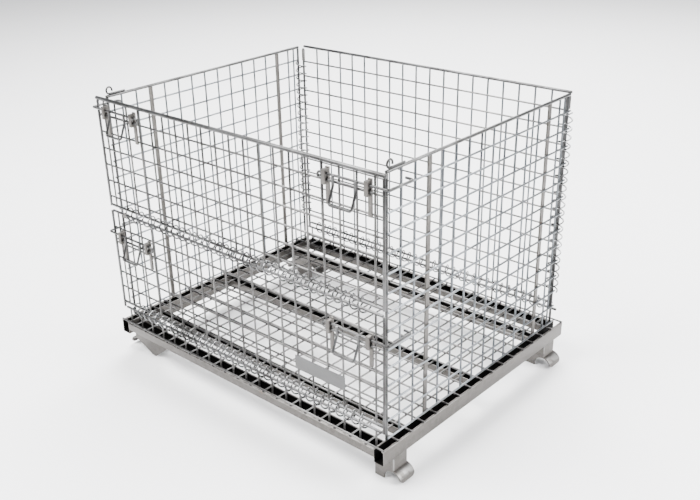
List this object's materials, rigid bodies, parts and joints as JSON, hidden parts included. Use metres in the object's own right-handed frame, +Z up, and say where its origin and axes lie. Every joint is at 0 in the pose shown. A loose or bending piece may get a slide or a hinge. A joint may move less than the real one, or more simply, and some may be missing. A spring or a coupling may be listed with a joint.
{
  "type": "folding wire mesh container",
  "caption": "Folding wire mesh stillage with a half-drop front gate on spiral hinges, sliding wire latches, a channel base with a mesh floor and pressed feet.",
  "frame": {"origin": "centre of the footprint, on the ground under the feet", "axes": "+X along the length to the right as seen from the front gate, +Y from the front gate to the back wall, +Z up"},
  "size_m": [1.062, 0.84, 0.8149],
  "materials": {
    "galvanised_wire": "satin zinc-coated wire",
    "galvanised_rod": "satin zinc-coated rod",
    "spring_wire": "bright zinc-coated spring wire",
    "galvanised_sheet": "satin galvanised sheet",
    "plate_sheet": "plain satin plate"
  },
  "bodies": {
    "base": {"back_wall_cross_wires": "galvanised_wire", "back_wall_rods": "galvanised_rod", "back_wall_top_rail": "galvanised_rod", "back_wall_uprights": "galvanised_wire", "corner_clips": "galvanised_sheet", "floor_cross_wires": "galvanised_wire", "floor_hinge_rods": "galvanised_rod", "floor_long_wires": "galvanised_wire", "front_beam": "galvanised_sheet", "front_cross_channel": "galvanised_sheet", "front_floor_spiral": "spring_wire", "front_hinge_posts": "galvanised_wire", "left_corner_spiral": "spring_wire", "left_front_foot": "galvanised_sheet", "left_rear_foot": "galvanised_sheet", "left_side_channel": "galvanised_sheet", "middle_cross_channel": "galvanised_sheet", "rear_beam": "galvanised_sheet", "rear_cross_channel": "galvanised_sheet", "rear_floor_spiral": "spring_wire", "rear_hinge_posts": "galvanised_wire", "right_corner_spiral": "spring_wire", "right_front_foot": "galvanised_sheet", "right_rear_foot": "galvanised_sheet", "right_side_channel": "galvanised_sheet"},
    "left_wall": {"left_wall_cross_wires": "galvanised_wire", "left_wall_end_rods": "galvanised_rod", "left_wall_eye": "galvanised_rod", "left_wall_stiffeners": "galvanised_sheet", "left_wall_top_rail": "galvanised_rod", "left_wall_uprights": "galvanised_wire"},
    "right_wall": {"right_wall_cross_wires": "galvanised_wire", "right_wall_end_rods": "galvanised_rod", "right_wall_eye": "galvanised_rod", "right_wall_stiffeners": "galvanised_sheet", "right_wall_top_rail": "galvanised_rod", "right_wall_uprights": "galvanised_wire"},
    "front_panel": {"lower_latch_guides": "galvanised_sheet", "middle_spiral": "spring_wire", "middle_spiral_clip": "galvanised_sheet", "name_plate": "plate_sheet", "panel_cross_wires": "galvanised_wire", "panel_end_rods": "galvanised_rod", "panel_hinge_rods": "galvanised_rod", "panel_uprights": "galvanised_wire"},
    "gate": {"gate_cross_wires": "galvanised_wire", "gate_rods": "galvanised_rod", "gate_top_rail": "galvanised_rod", "gate_uprights": "galvanised_wire", "upper_latch_guides": "galvanised_sheet"},
    "left_upper_latch": {"left_upper_bolt": "galvanised_rod", "left_upper_handle": "galvanised_rod"},
    "right_upper_latch": {"right_upper_bolt": "galvanised_rod", "right_upper_handle": "galvanised_rod"},
    "left_lower_latch": {"left_lower_bolt": "galvanised_rod", "left_lower_handle": "galvanised_rod"},
    "right_lower_latch": {"right_lower_bolt": "galvanised_rod", "right_lower_handle": "galvanised_rod"}
  },
  "joints": [
    {"name": "left_wall_swing", "type": "hinge", "parent": "base", "child": "left_wall", "pos_m": [-0.482, 0.38333, 0.45], "axis": [0, 0, 1], "range_deg": [0, 90]},
    {"name": "right_wall_swing", "type": "hinge", "parent": "base", "child": "right_wall", "pos_m": [0.482, 0.38333, 0.45], "axis": [0, 0, -1], "range_deg": [0, 86]},
    {"name": "front_panel_fold", "type": "hinge", "parent": "base", "child": "front_panel", "pos_m": [0, -0.38603, 0.1615], "axis": [-1, 0, 0], "range_deg": [-90, 0]},
    {"name": "gate_fold", "type": "hinge", "parent": "front_panel", "child": "gate", "pos_m": [0, -0.38812, 0.474], "axis": [1, 0, 0], "range_deg": [0, 155]},
    {"name": "left_upper_bolt_slide", "type": "slide", "parent": "gate", "child": "left_upper_latch", "axis": [-1, 0, 0], "range_m": [-0.01, 0.015]},
    {"name": "left_lower_bolt_slide", "type": "slide", "parent": "front_panel", "child": "left_lower_latch", "axis": [-1, 0, 0], "range_m": [-0.01, 0.015]},
    {"name": "right_upper_bolt_slide", "type": "slide", "parent": "gate", "child": "right_upper_latch", "axis": [1, 0, 0], "range_m": [-0.01, 0.015]},
    {"name": "right_lower_bolt_slide", "type": "slide", "parent": "front_panel", "child": "right_lower_latch", "axis": [1, 0, 0], "range_m": [-0.01, 0.015]}
  ]
}
